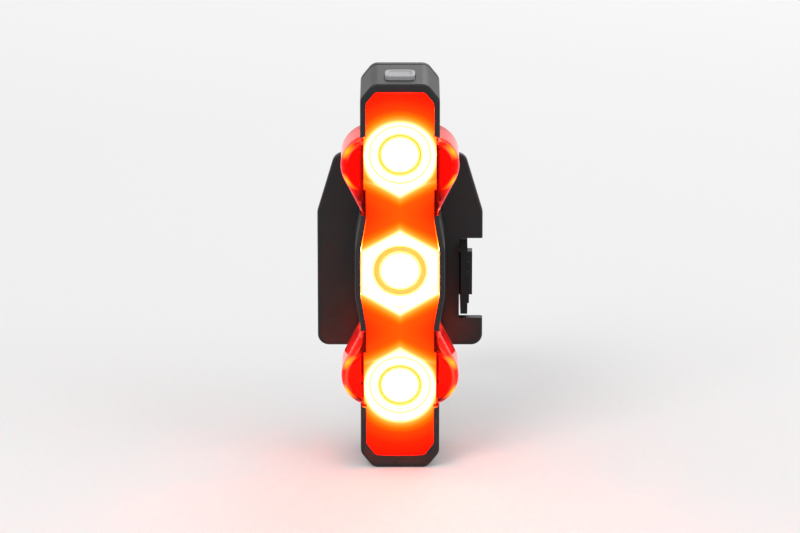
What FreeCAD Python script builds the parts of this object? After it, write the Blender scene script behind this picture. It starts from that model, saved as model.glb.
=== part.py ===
import FreeCAD, Part
import math
import os

# Bicycle tail light with its strap mount, in millimetres.
# The origin is on the seatpost's axis at the middle of the strap's height.
# +Z runs up along the post, the lens faces -Y and +X is to the right seen from behind the bicycle.

Vector = FreeCAD.Vector
os.makedirs("parts", exist_ok=True)

# Seatpost, strap and pad
post_diameter = 27.2
strap_height = 18.0
strap_thickness = 1.5
pad_thickness = 1.6
pad_half_angle = 52.0
strap_hinge_y = -4.0
strap_hinge_gap = 0.4
strap_tail_length = 19.0
strap_slot_width = 3.4
strap_slot_height = 10.8
strap_slot_pitch = 5.6
soft_gap = 0.35

# Bracket
bracket_wall = 2.0
bracket_face_half = 8.6
bracket_edge_radius = 1.0
shield_half = 18.5
shield_top_half = 14.5
shield_bottom = -15.8
shield_shoulder = 15.5
shield_top = 29.0
shield_corner = 2.5
hook_distance = 8.0
hook_reach = 1.15
anchor_y = -12.0
anchor_outset = 0.4
anchor_pin_radius = 0.9
anchor_pin_play = 0.05
knuckle_radius = 2.0
lug_height = 2.55
lug_root = 1.2

# Rail between the bracket and the light
rail_neck_half = 3.5
rail_neck_depth = 1.6
rail_head_half = 6.0
rail_head_depth = 1.6
rail_play = 0.15
rail_stop_gap = 0.05
channel_wall = 1.6
channel_stop = 1.8
rail_corner = 0.6

# Leaf spring that holds the light on the rail
catch_width = 4.0
catch_half_span = 5.0
catch_sheet = 0.3
catch_tab = 3.2
catch_pocket_depth = 0.9
catch_pocket_margin = 0.5
catch_rest_gap = 0.05
catch_rivet_radius = 0.8
catch_rivet_head = 1.3
catch_rivet_head_height = 0.4

# Light body, seen from the front; its heights are counted from the middle emitter
light_rise = 8.0
led_pitch = 26.5
body_below_led = 18.5
body_end_half = 6.0
body_corner_drop = 3.4
body_half = 8.7
bulge_half = 9.9
bulge_flat = 5.0
bulge_run = 7.0
corner_radius = 2.4
bulge_radius = 6.0
side_wall = 1.2
top_wall = 1.8
bottom_wall = 3.0
edge_round = 0.5
moulding_gap = 0.1

# Light body, from its back to its front
cover_thickness = 2.0
gasket_thickness = 0.5
foam_thickness = 0.5
battery_thickness = 6.0
parts_space = 1.65
board_thickness = 1.0
led_base_height = 0.6
led_dome_radius = 1.4
optic_gap = 0.2
collimator_height = 4.9
bezel_thickness = 1.5
lens_thickness = 1.7
lens_crown_radius = 32.0
rim_setback = 1.0

# Side windows of the lens
ear_half = 13.0
ear_arc = 7.0
ear_below_led = 2.3
ear_inner_x = 8.05
ear_foot_rise = 1.4
ear_low_x = 8.4
ear_wall = 1.5
ear_back = 5.35
ear_front_setback = 1.1
ear_round = 2.4
ear_fit = 0.15

# Emitters and optics
led_base_size = 3.45
collimator_radius = 8.0
collimator_neck = 3.0
collimator_cone = 6.6
collimator_flange = 1.0
collimator_pocket_radius = 2.0
collimator_pocket_depth = 1.8
hex_half_flat = 8.4
ring_groove_width = 0.5
ring_groove_depth = 0.35
round_rings = (4.3, 6.4)
hex_rings = (4.9,)
aperture_radius = 7.6
drop_reach = 1.15
bezel_tab_half = 7.95
bezel_tab_above = 6.2
bezel_tab_below = 5.2
aperture_hex_half = 8.05
tray_thickness = 1.9
tray_wall = 0.95
tray_fit = 0.15
tray_post_radius = 0.9
tray_post_x = 5.6
tray_post_inset = 13.3
side_led_x = 6.0
side_led_rise = 0.2
side_led_size = 1.6
side_led_height = 0.8

# Board and the parts on it
board_top_gap = 2.8
board_bottom_gap = 0.3
board_inset = 1.5
chip_half = 2.2
chip_height = 0.9
driver_z = 6.0
controller_z = -6.0
controller_half_width = 2.6
inductor_half = 2.1
inductor_height = 1.2
inductor_z = 0.0
inductor_x = 4.0
capacitor_length = 1.6
capacitor_width = 0.8
capacitor_x = -4.6
capacitor_pitch = 2.6
capacitor_count = 5

# Switch and power button
switch_half_width = 2.25
switch_depth = 3.4
switch_height = 3.5
stem_radius = 0.9
stem_sink = 1.4
stem_play = 0.05
stem_end_gap = 0.2
switch_inset = 0.4
switch_tray_gap = 0.3
button_half_width = 3.3
button_half_depth = 2.9
button_proud = 0.9
button_travel = 0.7
button_play = 0.12
button_round = 1.4
flange_rim = 0.8
flange_height = 0.8
seal_height = 0.5
seal_gap = 0.3

# Charging port and its cover
port_width = 8.94
port_height = 3.26
port_depth = 7.35
port_sheet = 0.3
port_margin = 0.25
tongue_width = 6.69
tongue_height = 0.7
tongue_depth = 5.6
port_opening_gap = 0.18
port_end_share = 0.98
flap_half_width = 6.0
flap_front_reach = 5.0
flap_thickness = 1.4
flap_gap = 0.2
flap_axis_back = 4.1
flap_peg_radius = 0.55
flap_peg_length = 0.8
flap_peg_play = 0.1
flap_plug_gap = 0.36
flap_plug_height = 1.3
flap_tab_half = 2.2
flap_tab_length = 1.2
flap_relief = 1.2

# Battery
battery_half_width = 6.0
battery_length = 40.0
battery_boss_gap = 2.85
battery_round = 1.6
foam_margin = 1.5
guard_gap = 0.2
guard_half_width = 4.6
guard_height = 4.0
guard_thickness = 0.8
lead_radius = 0.45
lead_x = 2.0
lead_rise = 3.0
lead_bend = 2.2

# Screws
cover_screw_radius = 1.0
cover_screw_core = 0.8
cover_screw_length = 6.0
screw_head_radius = 1.75
screw_head_height = 1.1
board_screw_radius = 0.7
board_screw_core = 0.6
board_screw_length = 2.2
board_screw_head_radius = 1.4
board_screw_head_height = 0.9
screw_slot = 0.4
boss_radius = 2.15
boss_x = 5.2
boss_top_inset = 2.4
boss_below_led = 2.5
screw_hole_play = 0.1

# Places that follow from the sizes above
post_radius = post_diameter / 2
pad_outer_radius = post_radius + pad_thickness
bracket_side_x = post_radius - soft_gap
bracket_side_front = -pad_outer_radius
anchor_x = -(post_radius + anchor_outset)
half_strap = strap_height / 2
bracket_front = -(pad_outer_radius + bracket_wall)
rail_head_back = bracket_front - rail_neck_depth
rail_head_front = rail_head_back - rail_head_depth
cover_back = rail_head_front - rail_play
cover_front = cover_back - cover_thickness
housing_back = cover_front - gasket_thickness
battery_back = cover_front - foam_thickness
battery_front = battery_back - battery_thickness
board_back = battery_front - parts_space
board_front = board_back - board_thickness
led_base_front = board_front - led_base_height
collimator_back = led_base_front - optic_gap
collimator_front = collimator_back - collimator_height
flange_back = collimator_front + collimator_flange
tray_front = flange_back + moulding_gap
tray_back = tray_front + tray_thickness
bezel_back = collimator_front - optic_gap
bezel_front = bezel_back - bezel_thickness
lens_back = bezel_front - optic_gap
lens_front = lens_back - lens_thickness
rim_front = lens_front + rim_setback
ear_rear = housing_back - ear_back
ear_front = lens_front + ear_front_setback
tray_end = led_pitch + collimator_cone + tray_fit + tray_wall
switch_top = tray_end + switch_tray_gap + switch_height
board_top = switch_top + switch_inset
body_top = board_top + board_top_gap + top_wall
body_bottom = -led_pitch - body_below_led
ear_middle = led_pitch - ear_below_led
ear_low = bulge_flat + bulge_run + ear_foot_rise
side_led_z = ear_middle + side_led_rise
board_bottom = body_bottom + bottom_wall + board_bottom_gap
boss_top_z = board_top - boss_top_inset
boss_bottom_z = -led_pitch - boss_below_led
battery_low = boss_bottom_z + boss_radius + battery_boss_gap
battery_high = battery_low + battery_length
port_y = board_back + port_height / 2
port_mouth = body_bottom + bottom_wall + port_margin
flap_axis_y = port_y + flap_axis_back
flap_axis_z = body_bottom + flap_thickness / 2
switch_y = board_front - switch_depth / 2
button_top = body_top + button_proud
flange_top = body_top - top_wall - seal_height
screw_places = [
    (side * boss_x, height)
    for height in (boss_top_z, boss_bottom_z)
    for side in (1, -1)
]


def block(x_low, x_high, y_low, y_high, z_low, z_high):
    corner = Vector(x_low, y_low, z_low)
    return Part.makeBox(x_high - x_low, y_high - y_low, z_high - z_low, corner)


def rod(radius, start, end):
    reach = end - start
    return Part.makeCylinder(radius, reach.Length, start, reach)


def cone(start_radius, end_radius, start, end):
    reach = end - start
    return Part.makeCone(start_radius, end_radius, reach.Length, start, reach)


def joined(shapes):
    whole = shapes[0]
    for shape in shapes[1:]:
        whole = whole.fuse(shape)
    return whole.removeSplitter()


# Outlines are lists of corners (across, up, radius), counterclockwise.
def inset_points(points, distance):
    moved = []
    count = len(points)
    for index in range(count):
        before = points[index - 1]
        here = points[index]
        after = points[(index + 1) % count]
        first = Vector(here[0] - before[0], here[1] - before[1], 0).normalize()
        second = Vector(after[0] - here[0], after[1] - here[1], 0).normalize()
        first_in = Vector(-first.y, first.x, 0)
        second_in = Vector(-second.y, second.x, 0)
        shift = (first_in + second_in) * (distance / (1 + first_in.dot(second_in)))
        turns_in = first.x * second.y - first.y * second.x > 0
        radius = here[2] - distance if turns_in else here[2] + distance
        if here[2] == 0:
            radius = 0
        moved.append((here[0] + shift.x, here[1] + shift.y, max(radius, 0)))
    return moved


def rounded_wire(points, place):
    edges = []
    starts = []
    ends = []
    middles = []
    count = len(points)
    for index in range(count):
        before = points[index - 1]
        here = points[index]
        after = points[(index + 1) % count]
        corner = Vector(here[0], here[1], 0)
        back = (Vector(before[0], before[1], 0) - corner).normalize()
        ahead = (Vector(after[0], after[1], 0) - corner).normalize()
        half_angle = back.getAngle(ahead) / 2
        run = here[2] / math.tan(half_angle)
        inward = (back + ahead).normalize()
        starts.append(corner + back * run)
        ends.append(corner + ahead * run)
        middles.append(corner + inward * (here[2] / math.sin(half_angle) - here[2]))
    for index in range(count):
        if points[index][2] > 0:
            arc = Part.Arc(place(starts[index]), place(middles[index]), place(ends[index]))
            edges.append(arc.toShape())
        line_start = place(ends[index])
        line_end = place(starts[(index + 1) % count])
        if line_start.distanceToPoint(line_end) > 1e-6:
            edges.append(Part.LineSegment(line_start, line_end).toShape())
    return Part.Wire(edges)


def front_prism(points, y_low, y_high, rise=light_rise):
    wire = rounded_wire(points, lambda spot: Vector(spot.x, y_low, spot.y + rise))
    return Part.Face(wire).extrude(Vector(0, y_high - y_low, 0))


def level_prism(points, z_low, z_high):
    wire = rounded_wire(points, lambda spot: Vector(spot.x, spot.y, z_low))
    return Part.Face(wire).extrude(Vector(0, 0, z_high - z_low))


def mirrored(right_half):
    left_half = [(-x, z, radius) for x, z, radius in reversed(right_half)]
    return right_half + left_half


def body_points(top, bottom):
    right_half = [
        (body_end_half, bottom, corner_radius),
        (body_half, bottom + body_corner_drop, corner_radius),
        (body_half, -bulge_flat - bulge_run, bulge_radius),
        (bulge_half, -bulge_flat, bulge_radius),
        (bulge_half, bulge_flat, bulge_radius),
        (body_half, bulge_flat + bulge_run, bulge_radius),
        (body_half, top - body_corner_drop, corner_radius),
        (body_end_half, top, corner_radius),
    ]
    return mirrored(right_half)


def cavity_points():
    top = body_top - top_wall + side_wall
    bottom = body_bottom + bottom_wall - side_wall
    return inset_points(body_points(top, bottom), side_wall)


# The upper right side window: a round lobe whose lower edge runs straight in to the waist.
def ear_prism(inner_x, grow, y_low, y_high):
    centre = Vector(ear_half - ear_arc, ear_middle, 0)
    foot = Vector(ear_low_x, ear_low, 0)
    reach = foot - centre
    swing = math.acos(ear_arc / reach.Length)
    lean = math.atan2(reach.y, reach.x) + swing
    outward = Vector(math.cos(lean), math.sin(lean), 0)
    radius = ear_arc + grow
    touch = centre + outward * radius
    along = Vector(outward.y, -outward.x, 0)
    low = ear_low - grow
    corner = touch + along * ((low - touch.y) / along.y)
    lobe = rod(radius, spot(centre.x, y_low, centre.y), spot(centre.x, y_high, centre.y))
    skirt = [(inner_x, low, 0), (corner.x, low, 0), (touch.x, touch.y, 0), (inner_x, touch.y, 0)]
    whole = joined([lobe, front_prism(skirt, y_low, y_high)])
    high = ear_middle + radius
    return whole.common(light_block(inner_x, ear_half + grow, y_low, y_high, low, high))


def four_sides(shape):
    middle = spot(0, 0, 0)
    right = [shape, shape.mirror(middle, Vector(0, 0, 1))]
    return right + [piece.mirror(middle, Vector(1, 0, 0)) for piece in right]


def hexagon_points(half_flat):
    corner = half_flat / math.cos(math.radians(30))
    points = []
    for step in range(6):
        turn = math.radians(30 + 60 * step)
        points.append((corner * math.cos(turn), corner * math.sin(turn), 0))
    return points


def spot(x, y, height):
    return Vector(x, y, height + light_rise)


def light_block(x_low, x_high, y_low, y_high, low, high):
    return block(x_low, x_high, y_low, y_high, low + light_rise, high + light_rise)


def round_face_edges(shape, y_place, radius):
    picked = [
        edge
        for edge in shape.Edges
        if abs(edge.BoundBox.YMin - y_place) < 1e-4
        and abs(edge.BoundBox.YMax - y_place) < 1e-4
    ]
    return shape.makeFillet(radius, picked)


# Mount: pad, bracket, rail, strap
def saddle_pad():
    ring = Part.makeCylinder(pad_outer_radius, strap_height, Vector(0, 0, -half_strap))
    ring = ring.cut(Part.makeCylinder(post_radius, strap_height, Vector(0, 0, -half_strap)))
    reach = 2 * pad_outer_radius
    across = reach * math.tan(math.radians(pad_half_angle))
    wedge = [(0, 0, 0), (-across, -reach, 0), (across, -reach, 0)]
    return ring.common(level_prism(wedge, -half_strap, half_strap))


def bracket_outline():
    wing_y = -pad_outer_radius * math.cos(math.radians(pad_half_angle))
    corner = bracket_edge_radius
    return [
        (-bracket_side_x, wing_y, 0),
        (-bracket_side_x, bracket_side_front, corner),
        (-bracket_face_half, bracket_front, corner),
        (bracket_face_half, bracket_front, corner),
        (bracket_side_x, bracket_side_front, corner),
        (bracket_side_x, wing_y, 0),
    ]


def rail():
    neck = block(-rail_neck_half, rail_neck_half, rail_head_back, bracket_front, -half_strap, half_strap)
    head = [
        (-rail_head_half, rail_head_front, rail_corner),
        (rail_head_half, rail_head_front, rail_corner),
        (rail_head_half, rail_head_back, 0),
        (-rail_head_half, rail_head_back, 0),
    ]
    return joined([neck, level_prism(head, -half_strap, half_strap)])


def catch_pocket():
    half = catch_width / 2 + catch_pocket_margin
    low = -catch_half_span - catch_tab - catch_pocket_margin
    high = catch_half_span + catch_pocket_margin
    floor = rail_head_front + catch_pocket_depth
    return block(-half, half, rail_head_front, floor, low, high)


def catch_rivet_spot(y):
    return Vector(0, y, -catch_half_span - catch_tab / 2)


def hook():
    x_high = post_radius + strap_thickness + hook_reach
    middle = strap_hinge_y - hook_distance
    half = strap_slot_width / 2 - soft_gap
    tall = strap_slot_height / 2 - soft_gap
    return block(bracket_side_x, x_high, middle - half, middle + half, -tall, tall)


def anchor_lug(z_low, z_high):
    eye = Part.makeCylinder(knuckle_radius, z_high - z_low, Vector(anchor_x, anchor_y, z_low))
    root_end = block(anchor_x, -bracket_side_x + lug_root, anchor_y - knuckle_radius,
                     anchor_y + knuckle_radius, z_low, z_high)
    return eye.fuse(root_end)


# A plate behind the light with sloping shoulders and a gap for the strap's loose end
def bracket_shield():
    back = bracket_front + bracket_wall
    right_half = [
        (shield_half, shield_bottom, shield_corner),
        (shield_half, shield_shoulder, shield_corner),
        (shield_top_half, shield_top, shield_corner),
    ]
    plate = front_prism(mirrored(right_half), bracket_front, back, 0)
    for face in (bracket_front, back):
        plate = round_face_edges(plate, face, edge_round)
    gap = half_strap + soft_gap
    return plate.cut(block(bracket_side_x, shield_half, bracket_front, back, -gap, gap))


def bracket_body():
    body = level_prism(bracket_outline(), -half_strap, half_strap)
    body = body.cut(Part.makeCylinder(pad_outer_radius, strap_height, Vector(0, 0, -half_strap)))
    lug_low = half_strap - lug_height
    recess = Part.makeCylinder(knuckle_radius + soft_gap, 2 * lug_low,
                               Vector(anchor_x, anchor_y, -lug_low))
    body = body.cut(recess)
    body = joined([
        body,
        bracket_shield(),
        rail(),
        hook(),
        anchor_lug(lug_low, half_strap),
        anchor_lug(-half_strap, -lug_low),
    ])
    pin_hole = Part.makeCylinder(anchor_pin_radius, strap_height,
                                 Vector(anchor_x, anchor_y, -half_strap))
    rivet_hole = rod(catch_rivet_radius, catch_rivet_spot(rail_head_front),
                     catch_rivet_spot(bracket_front + bracket_wall))
    return body.cut(pin_hole).cut(catch_pocket()).cut(rivet_hole)


def strap_pin():
    return Part.makeCylinder(anchor_pin_radius, strap_height, Vector(anchor_x, anchor_y, -half_strap))


def catch_spring():
    floor = rail_head_front + catch_pocket_depth
    apex = rail_head_front - rail_play + catch_rest_gap
    rise = floor - catch_sheet - apex
    outer_radius = (catch_half_span ** 2 + rise ** 2) / (2 * rise)
    centre_y = apex + outer_radius
    half = catch_width / 2
    leaf = rod(outer_radius, Vector(-half, centre_y, 0), Vector(half, centre_y, 0))
    leaf = leaf.cut(rod(outer_radius - catch_sheet, Vector(-half, centre_y, 0),
                        Vector(half, centre_y, 0)))
    leaf = leaf.common(block(-half, half, apex, floor, -catch_half_span, catch_half_span))
    tab = block(-half, half, floor - catch_sheet, floor, -catch_half_span - catch_tab, -catch_half_span)
    hole = rod(catch_rivet_radius, catch_rivet_spot(apex), catch_rivet_spot(floor))
    return joined([leaf, tab]).cut(hole)


def catch_rivet():
    leaf_face = rail_head_front + catch_pocket_depth - catch_sheet
    shank = rod(catch_rivet_radius, catch_rivet_spot(leaf_face),
                catch_rivet_spot(bracket_front + bracket_wall))
    head = rod(catch_rivet_head, catch_rivet_spot(leaf_face - catch_rivet_head_height),
               catch_rivet_spot(leaf_face))
    whole = joined([shank, head])
    return whole.cut(Part.makeCylinder(pad_outer_radius, strap_height, Vector(0, 0, -half_strap)))


def strap_band():
    outer = post_radius + strap_thickness
    loop = Part.makeCylinder(outer, strap_height, Vector(0, 0, -half_strap))
    loop = loop.cut(Part.makeCylinder(post_radius, strap_height, Vector(0, 0, -half_strap)))
    loop = loop.common(block(-outer, outer, 0, outer, -half_strap, half_strap))
    right = block(post_radius, outer, strap_hinge_y, 0, -half_strap, half_strap)
    socket = Part.makeCylinder(strap_thickness / 2 + strap_hinge_gap, strap_height,
                               Vector(post_radius + strap_thickness / 2, strap_hinge_y, -half_strap))
    shoulder = anchor_y + knuckle_radius + soft_gap
    left = block(-outer, -post_radius, shoulder, 0, -half_strap, half_strap)
    tongue_half = half_strap - lug_height - soft_gap
    tongue = block(-outer, -post_radius, anchor_y, shoulder, -tongue_half, tongue_half)
    knuckle = Part.makeCylinder(knuckle_radius, 2 * tongue_half,
                                Vector(anchor_x, anchor_y, -tongue_half))
    bore = Part.makeCylinder(anchor_pin_radius + anchor_pin_play, 2 * tongue_half,
                             Vector(anchor_x, anchor_y, -tongue_half))
    return joined([loop, right.cut(socket), left, tongue, knuckle]).cut(bore)


def strap_tail():
    inner = post_radius
    outer = post_radius + strap_thickness
    tip = strap_hinge_y - strap_tail_length
    blade = block(inner, outer, tip + half_strap, strap_hinge_y, -half_strap, half_strap)
    tip_disc = rod(half_strap, Vector(inner, tip + half_strap, 0), Vector(outer, tip + half_strap, 0))
    root_end = Part.makeCylinder(strap_thickness / 2, strap_height,
                                 Vector(inner + strap_thickness / 2, strap_hinge_y, -half_strap))
    tail = joined([blade, tip_disc, root_end])
    for step in range(2):
        middle = strap_hinge_y - hook_distance - step * strap_slot_pitch
        tail = tail.cut(block(inner, outer, middle - strap_slot_width / 2, middle + strap_slot_width / 2,
                              -strap_slot_height / 2, strap_slot_height / 2))
    return tail


# Light: shells
def channel():
    inner = rail_head_half + rail_play
    outer = inner + channel_wall
    lip = rail_neck_half + rail_play
    back = bracket_front - rail_play
    lip_front = rail_head_back + rail_play
    top = half_strap + rail_stop_gap
    pieces = [block(-outer, outer, cover_back, back, top, top + channel_stop)]
    for side in (1, -1):
        wall_x = sorted((side * inner, side * outer))
        lip_x = sorted((side * lip, side * outer))
        pieces.append(block(wall_x[0], wall_x[1], cover_back, back, -half_strap, top))
        pieces.append(block(lip_x[0], lip_x[1], lip_front, back, -half_strap, top))
    return joined(pieces)


def rear_cover():
    plate = front_prism(body_points(body_top, body_bottom), cover_front, cover_back)
    plate = round_face_edges(plate, cover_back, edge_round)
    cover = joined([plate, channel()])
    for x, height in screw_places:
        head = rod(screw_head_radius + screw_hole_play, spot(x, cover_back - screw_head_height, height),
                   spot(x, cover_back, height))
        shank = rod(cover_screw_radius + screw_hole_play, spot(x, cover_front, height),
                    spot(x, cover_back, height))
        cover = cover.cut(head).cut(shank)
    return cover


def cover_gasket():
    outline = inset_points(body_points(body_top, body_bottom), moulding_gap)
    ring = front_prism(outline, housing_back, cover_front)
    return ring.cut(front_prism(cavity_points(), housing_back, cover_front))


def button_outline(grow):
    x_half = button_half_width + grow
    y_half = button_half_depth + grow
    radius = button_round + grow
    return [
        (-x_half, switch_y - y_half, radius),
        (x_half, switch_y - y_half, radius),
        (x_half, switch_y + y_half, radius),
        (-x_half, switch_y + y_half, radius),
    ]


def button_prism(grow, low, high):
    return level_prism(button_outline(grow), low + light_rise, high + light_rise)


def port_prism(grow, low, high):
    x_half = port_width / 2 + grow
    y_half = port_height / 2 + grow
    radius = y_half * port_end_share
    outline = [
        (-x_half, port_y - y_half, radius),
        (x_half, port_y - y_half, radius),
        (x_half, port_y + y_half, radius),
        (-x_half, port_y + y_half, radius),
    ]
    return level_prism(outline, low + light_rise, high + light_rise)


def flap_recess():
    depth = flap_thickness + flap_gap
    half = flap_half_width + flap_gap
    front = port_y - flap_front_reach - flap_gap
    swing = flap_thickness / 2 + flap_gap
    plate = light_block(-half, half, front, flap_axis_y, body_bottom, body_bottom + depth)
    groove = rod(swing, spot(-half, flap_axis_y, flap_axis_z), spot(half, flap_axis_y, flap_axis_z))
    relief = light_block(-half, half, flap_axis_y, flap_axis_y + swing + flap_relief,
                         body_bottom, flap_axis_z)
    peg_reach = flap_half_width + flap_peg_length + flap_gap
    pegs = rod(flap_peg_radius + flap_peg_play, spot(-peg_reach, flap_axis_y, flap_axis_z),
               spot(peg_reach, flap_axis_y, flap_axis_z))
    tab = light_block(-flap_tab_half - flap_gap, flap_tab_half + flap_gap, front - flap_tab_length,
                      front, body_bottom, body_bottom + depth)
    return [plate, groove, relief, pegs, tab]


def housing_boss(x, height):
    column = rod(boss_radius, spot(x, board_back, height), spot(x, cover_front, height))
    side = 1 if x > 0 else -1
    web_x = sorted((x, side * (body_half - side_wall / 2)))
    web = light_block(web_x[0], web_x[1], ear_rear, cover_front - gasket_thickness,
                      height - boss_radius / 2, height + boss_radius / 2)
    return column.fuse(web)


def front_housing():
    shell = front_prism(body_points(body_top, body_bottom), rim_front, housing_back)
    shell = round_face_edges(shell, rim_front, edge_round)
    shell = shell.cut(front_prism(cavity_points(), rim_front, housing_back))
    shell = joined([shell] + [housing_boss(x, height) for x, height in screw_places])
    for x, height in screw_places:
        shell = shell.cut(rod(cover_screw_core, spot(x, cover_back - cover_screw_length, height),
                              spot(x, cover_front, height)))
        shell = shell.cut(rod(board_screw_core, spot(x, board_back, height),
                              spot(x, board_front + board_screw_length, height)))
    for notch in four_sides(ear_prism(side_led_x, ear_fit, lens_front, ear_rear + ear_fit)):
        shell = shell.cut(notch)
    shell = shell.cut(button_prism(button_play, flange_top, button_top))
    shell = shell.cut(port_prism(port_opening_gap, body_bottom, port_mouth))
    for cutter in flap_recess():
        shell = shell.cut(cutter)
    return shell


def lens_outline():
    return inset_points(cavity_points(), moulding_gap)


def lens_ear():
    outer = ear_prism(ear_inner_x, 0, ear_front, ear_rear)
    rounded = [
        edge
        for edge in outer.Edges
        if edge.BoundBox.YMax < ear_front + 1e-4
        and edge.CenterOfMass.x > ear_low_x
    ]
    outer = outer.makeFillet(ear_round, rounded)
    bridge = ear_prism(ear_inner_x - ear_wall, 0, ear_front, lens_back)
    reach = ear_middle + ear_arc
    bridge = bridge.common(light_block(0, ear_low_x, ear_front, lens_back, 0, reach))
    pocket = ear_prism(side_led_x, -ear_wall, lens_back, ear_rear - ear_wall)
    return joined([outer.cut(pocket), bridge])


def outer_lens():
    plate = front_prism(lens_outline(), lens_front, lens_back)
    crown_y = lens_front + lens_crown_radius
    crown = Part.makeCylinder(lens_crown_radius, body_top - body_bottom, spot(0, crown_y, body_bottom))
    return joined([plate.common(crown)] + four_sides(lens_ear()))


# Light: optics
# A circle drawn out to a point on the side that faces the middle emitter.
def drop(centre, radius, y_low, y_high):
    circle = rod(radius, spot(0, y_low, centre), spot(0, y_high, centre))
    inwards = -math.copysign(1, centre)
    reach = radius * drop_reach
    lean = math.acos(radius / reach)
    touch_x = radius * math.sin(lean)
    touch_z = centre + inwards * radius * math.cos(lean)
    tip = centre + inwards * reach
    corners = [(0, centre, 0), (touch_x, touch_z, 0), (0, tip, 0), (-touch_x, touch_z, 0)]
    if inwards < 0:
        corners.reverse()
    return circle.fuse(front_prism(corners, y_low, y_high)).removeSplitter()


def optic_bezel():
    plate = front_prism(lens_outline(), bezel_front, bezel_back)
    tab_low = ear_middle - bezel_tab_below
    tab_high = ear_middle + bezel_tab_above
    for low, high in ((tab_low, tab_high), (-tab_high, -tab_low)):
        tabs = light_block(-bezel_tab_half, bezel_tab_half, bezel_front, bezel_back, low, high)
        plate = plate.fuse(tabs)
    plate = plate.removeSplitter()
    for centre in (led_pitch, -led_pitch):
        plate = plate.cut(drop(centre, aperture_radius, bezel_front, bezel_back))
    return plate.cut(front_prism(hexagon_points(aperture_hex_half), bezel_front, bezel_back))


def collimator(centre, rings, hexagonal):
    body = cone(collimator_neck, collimator_cone, spot(0, collimator_back, centre),
                spot(0, flange_back, centre))
    if hexagonal:
        flange = front_prism(hexagon_points(hex_half_flat), collimator_front, flange_back)
    else:
        flange = drop(centre, collimator_radius, collimator_front, flange_back)
    body = joined([body, flange])
    pocket = rod(collimator_pocket_radius, spot(0, collimator_back, centre),
                 spot(0, collimator_back - collimator_pocket_depth, centre))
    body = body.cut(pocket)
    groove_floor = collimator_front + ring_groove_depth
    for ring in rings:
        outer = rod(ring + ring_groove_width / 2, spot(0, collimator_front, centre),
                    spot(0, groove_floor, centre))
        inner = rod(ring - ring_groove_width / 2, spot(0, collimator_front, centre),
                    spot(0, groove_floor, centre))
        body = body.cut(outer.cut(inner))
    return body


def optic_tray():
    outline = body_points(tray_end + board_inset, -tray_end - board_inset)
    plate = front_prism(inset_points(outline, board_inset), tray_front, tray_back)
    slope = (collimator_cone - collimator_neck) / (flange_back - collimator_back)
    for centre in (led_pitch, 0, -led_pitch):
        front_radius = collimator_cone + slope * (tray_front - flange_back) + tray_fit
        back_radius = collimator_cone + slope * (tray_back - flange_back) + tray_fit
        plate = plate.cut(cone(front_radius, back_radius, spot(0, tray_front, centre),
                               spot(0, tray_back, centre)))
    post_z = led_pitch - tray_post_inset
    posts = [
        rod(tray_post_radius, spot(x, tray_back, height), spot(x, board_front, height))
        for x in (tray_post_x, -tray_post_x)
        for height in (post_z, -post_z)
    ]
    return joined([plate] + posts)


def led_base(centre):
    half = led_base_size / 2
    return light_block(-half, half, led_base_front, board_front, centre - half, centre + half)


def led_dome(centre):
    ball = Part.makeSphere(led_dome_radius, spot(0, led_base_front, centre))
    reach = 2 * led_dome_radius
    return ball.common(light_block(-reach, reach, led_base_front - reach, led_base_front,
                                   centre - reach, centre + reach))


def side_leds():
    half = side_led_size / 2
    return Part.makeCompound([
        light_block(side * side_led_x - half, side * side_led_x + half, board_front - side_led_height,
                    board_front, end * side_led_z - half, end * side_led_z + half)
        for side in (1, -1)
        for end in (1, -1)
    ])


# Light: board and the parts on it
def main_board():
    outline = body_points(board_top + board_inset, board_bottom - board_inset)
    plate = front_prism(inset_points(outline, board_inset), board_front, board_back)
    for x, height in screw_places:
        plate = plate.cut(rod(board_screw_radius + screw_hole_play, spot(x, board_front, height),
                              spot(x, board_back, height)))
    return plate


def board_block(x, height, half_width, half_height, thickness):
    return light_block(x - half_width, x + half_width, board_back, board_back + thickness,
                       height - half_height, height + half_height)


def capacitors():
    first = -capacitor_pitch * (capacitor_count - 1) / 2
    return Part.makeCompound([
        board_block(capacitor_x, first + step * capacitor_pitch, capacitor_length / 2,
                    capacitor_width / 2, capacitor_width)
        for step in range(capacitor_count)
    ])


def switch_body():
    body = light_block(-switch_half_width, switch_half_width, board_front - switch_depth, board_front,
                       switch_top - switch_height, switch_top)
    well_floor = switch_top - stem_sink - button_travel - stem_end_gap
    well = rod(stem_radius + stem_play, spot(0, switch_y, well_floor),
               spot(0, switch_y, switch_top))
    return body.cut(well)


def switch_stem():
    return rod(stem_radius, spot(0, switch_y, switch_top - stem_sink),
               spot(0, switch_y, flange_top - flange_height - stem_play))


def power_button():
    cap = button_prism(0, flange_top, button_top)
    top_edges = [edge for edge in cap.Edges if edge.BoundBox.ZMin > button_top + light_rise - 1e-4]
    cap = cap.makeFillet(edge_round, top_edges)
    flange = button_prism(flange_rim, flange_top - flange_height, flange_top - stem_play)
    neck = button_prism(0, flange_top - stem_play, flange_top)
    return joined([cap, neck, flange])


def button_seal():
    ring = button_prism(flange_rim, flange_top, body_top - top_wall)
    return ring.cut(button_prism(seal_gap, flange_top, body_top - top_wall))


def usb_shell():
    shell = port_prism(0, port_mouth, port_mouth + port_depth)
    hollow = port_prism(-port_sheet, port_mouth, port_mouth + port_depth - port_sheet)
    return shell.cut(hollow)


def usb_tongue():
    root_end = port_mouth + port_depth - port_sheet
    return light_block(-tongue_width / 2, tongue_width / 2, port_y - tongue_height / 2,
                       port_y + tongue_height / 2, root_end - tongue_depth, root_end)


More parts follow.
